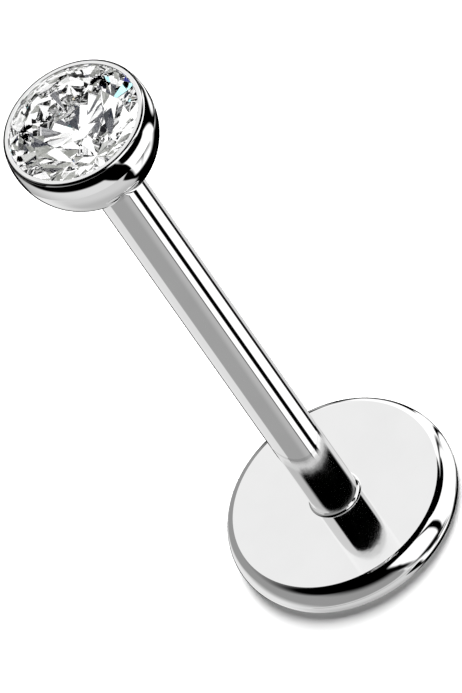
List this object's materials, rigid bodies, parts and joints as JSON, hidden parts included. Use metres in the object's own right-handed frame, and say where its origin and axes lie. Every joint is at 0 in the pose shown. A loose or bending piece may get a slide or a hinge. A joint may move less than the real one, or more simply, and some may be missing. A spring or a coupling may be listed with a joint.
{
  "type": "labret stud with a gem ball",
  "caption": "Straight polished-steel labret stud: flat round back disc, plain post, and a ball-shaped top with a flush-set round brilliant.",
  "frame": {"origin": "middle of the back disc's flat back, which the stud stands on", "axes": "+Z along the post from the back disc to the ball and stone; X and Y are any two directions across it"},
  "size_m": [0.0048, 0.0048, 0.0141],
  "materials": {
    "post_and_disc": "mirror-polished surgical steel",
    "ball_setting": "mirror-polished surgical steel",
    "stone": "clear cubic zirconia, polished facets"
  },
  "bodies": {
    "root": {"post_and_disc": "post_and_disc", "ball_setting": "ball_setting", "stone": "stone"}
  },
  "joints": []
}
